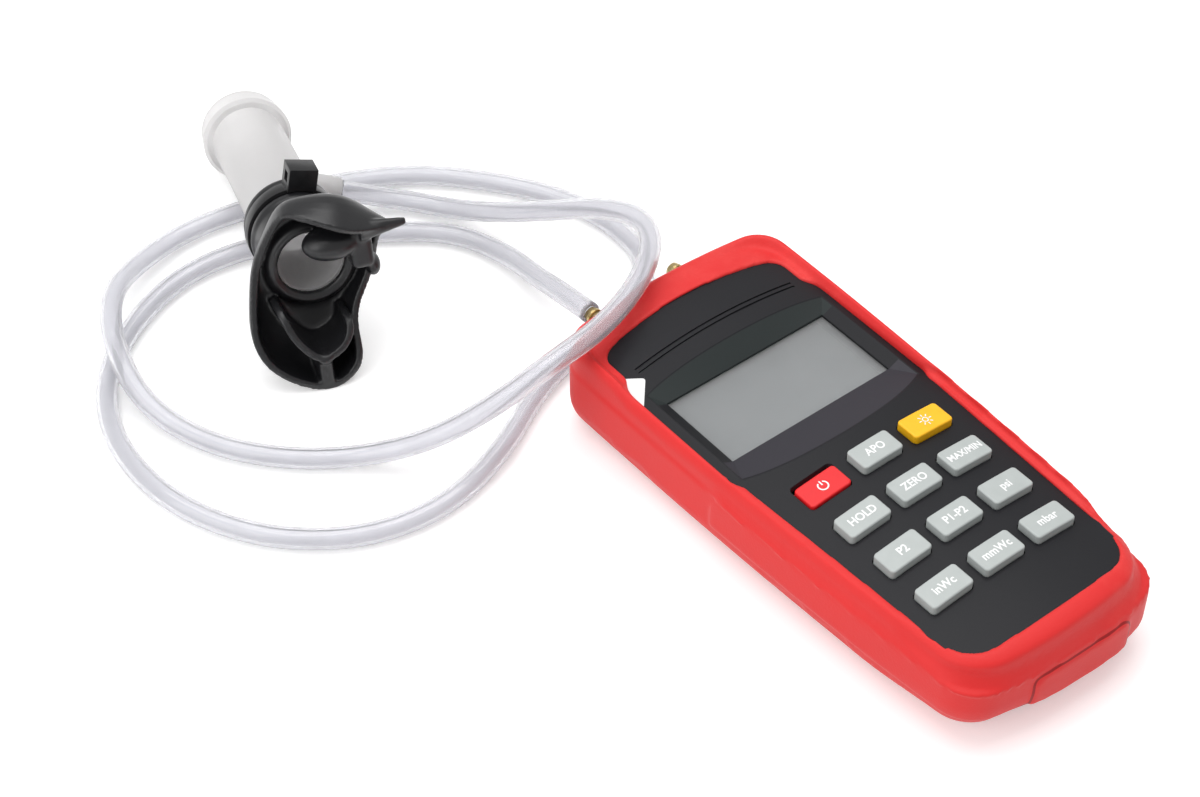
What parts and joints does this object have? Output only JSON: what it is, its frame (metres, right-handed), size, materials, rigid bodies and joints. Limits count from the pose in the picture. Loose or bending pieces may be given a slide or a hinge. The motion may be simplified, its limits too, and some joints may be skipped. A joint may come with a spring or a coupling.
{
  "type": "digital manometer",
  "caption": "Hand-held differential pressure meter in a rubber boot, with a display, a keypad, two ports, and a clear tube with an adapter and mouthpiece.",
  "frame": {"origin": "bottom centre of the meter with its boot and ports, tube and mouthpiece left out", "axes": "+Y runs along the meter towards its two ports, +X to the right of the face, +Z out of the face"},
  "size_m": [0.1775, 0.3045, 0.0617],
  "materials": {
    "boot_red": "soft satin rubber",
    "case_black": "fine matt",
    "cell_steel": "plain",
    "board_green": "lacquered board",
    "mat_grey": "matt",
    "clear_window": "clear plastic",
    "lcd_grey": "grey display film",
    "frame_white": "matt",
    "strip_rubber": "matt",
    "port_brass": "turned, plain",
    "sensor_body": "matt",
    "hose_clear": "clear silicone",
    "screw_steel": "zinc plated",
    "sticker_white": "plain sticker",
    "tube_clear": "clear silicone",
    "adapter_milky": "milky, half clear",
    "mouth_rubber": "soft satin",
    "tie_black": "nylon",
    "key_red": "satin",
    "key_yellow": "satin",
    "key_grey": "satin"
  },
  "bodies": {
    "meter": {"rubber_boot": "boot_red", "front_case": "case_black", "rear_case": "case_black", "battery_door": "case_black", "battery_cells": "cell_steel", "battery_contacts": "cell_steel", "circuit_board": "board_green", "keypad_mat": "mat_grey", "display_window": "clear_window", "lcd_panel": "lcd_grey", "lcd_frame": "frame_white", "contact_strips": "strip_rubber", "port_p1": "port_brass", "port_p2": "port_brass", "port_nuts": "port_brass", "sensor_p1": "sensor_body", "sensor_p2": "sensor_body", "hose_p1": "hose_clear", "hose_p2": "hose_clear", "case_screws": "screw_steel", "board_screws": "screw_steel", "door_screw": "screw_steel", "face_sticker": "sticker_white", "pressure_tube": "tube_clear", "adapter": "adapter_milky", "mouthpiece": "mouth_rubber", "cable_tie": "tie_black"},
    "power_key": {"key_power": "key_red"},
    "auto_off_key": {"key_auto_off": "key_grey"},
    "backlight_key": {"key_backlight": "key_yellow"},
    "hold_key": {"key_hold": "key_grey"},
    "zero_key": {"key_zero": "key_grey"},
    "max_min_key": {"key_max_min": "key_grey"},
    "p2_key": {"key_p2": "key_grey"},
    "p1_p2_key": {"key_p1_p2": "key_grey"},
    "psi_key": {"key_psi": "key_grey"},
    "inwc_key": {"key_inwc": "key_grey"},
    "mmwc_key": {"key_mmwc": "key_grey"},
    "mbar_key": {"key_mbar": "key_grey"}
  },
  "joints": [
    {"name": "power_press", "type": "slide", "parent": "meter", "child": "power_key", "axis": [0, 0, -1], "range_m": [0, 0.001], "stiffness_N_per_m": 900, "springref_m": -0.001},
    {"name": "auto_off_press", "type": "slide", "parent": "meter", "child": "auto_off_key", "axis": [0, 0, -1], "range_m": [0, 0.001], "stiffness_N_per_m": 900, "springref_m": -0.001},
    {"name": "backlight_press", "type": "slide", "parent": "meter", "child": "backlight_key", "axis": [0, 0, -1], "range_m": [0, 0.001], "stiffness_N_per_m": 900, "springref_m": -0.001},
    {"name": "hold_press", "type": "slide", "parent": "meter", "child": "hold_key", "axis": [0, 0, -1], "range_m": [0, 0.001], "stiffness_N_per_m": 900, "springref_m": -0.001},
    {"name": "zero_press", "type": "slide", "parent": "meter", "child": "zero_key", "axis": [0, 0, -1], "range_m": [0, 0.001], "stiffness_N_per_m": 900, "springref_m": -0.001},
    {"name": "max_min_press", "type": "slide", "parent": "meter", "child": "max_min_key", "axis": [0, 0, -1], "range_m": [0, 0.001], "stiffness_N_per_m": 900, "springref_m": -0.001},
    {"name": "p2_press", "type": "slide", "parent": "meter", "child": "p2_key", "axis": [0, 0, -1], "range_m": [0, 0.001], "stiffness_N_per_m": 900, "springref_m": -0.001},
    {"name": "p1_p2_press", "type": "slide", "parent": "meter", "child": "p1_p2_key", "axis": [0, 0, -1], "range_m": [0, 0.001], "stiffness_N_per_m": 900, "springref_m": -0.001},
    {"name": "psi_press", "type": "slide", "parent": "meter", "child": "psi_key", "axis": [0, 0, -1], "range_m": [0, 0.001], "stiffness_N_per_m": 900, "springref_m": -0.001},
    {"name": "inwc_press", "type": "slide", "parent": "meter", "child": "inwc_key", "axis": [0, 0, -1], "range_m": [0, 0.001], "stiffness_N_per_m": 900, "springref_m": -0.001},
    {"name": "mmwc_press", "type": "slide", "parent": "meter", "child": "mmwc_key", "axis": [0, 0, -1], "range_m": [0, 0.001], "stiffness_N_per_m": 900, "springref_m": -0.001},
    {"name": "mbar_press", "type": "slide", "parent": "meter", "child": "mbar_key", "axis": [0, 0, -1], "range_m": [0, 0.001], "stiffness_N_per_m": 900, "springref_m": -0.001}
  ]
}
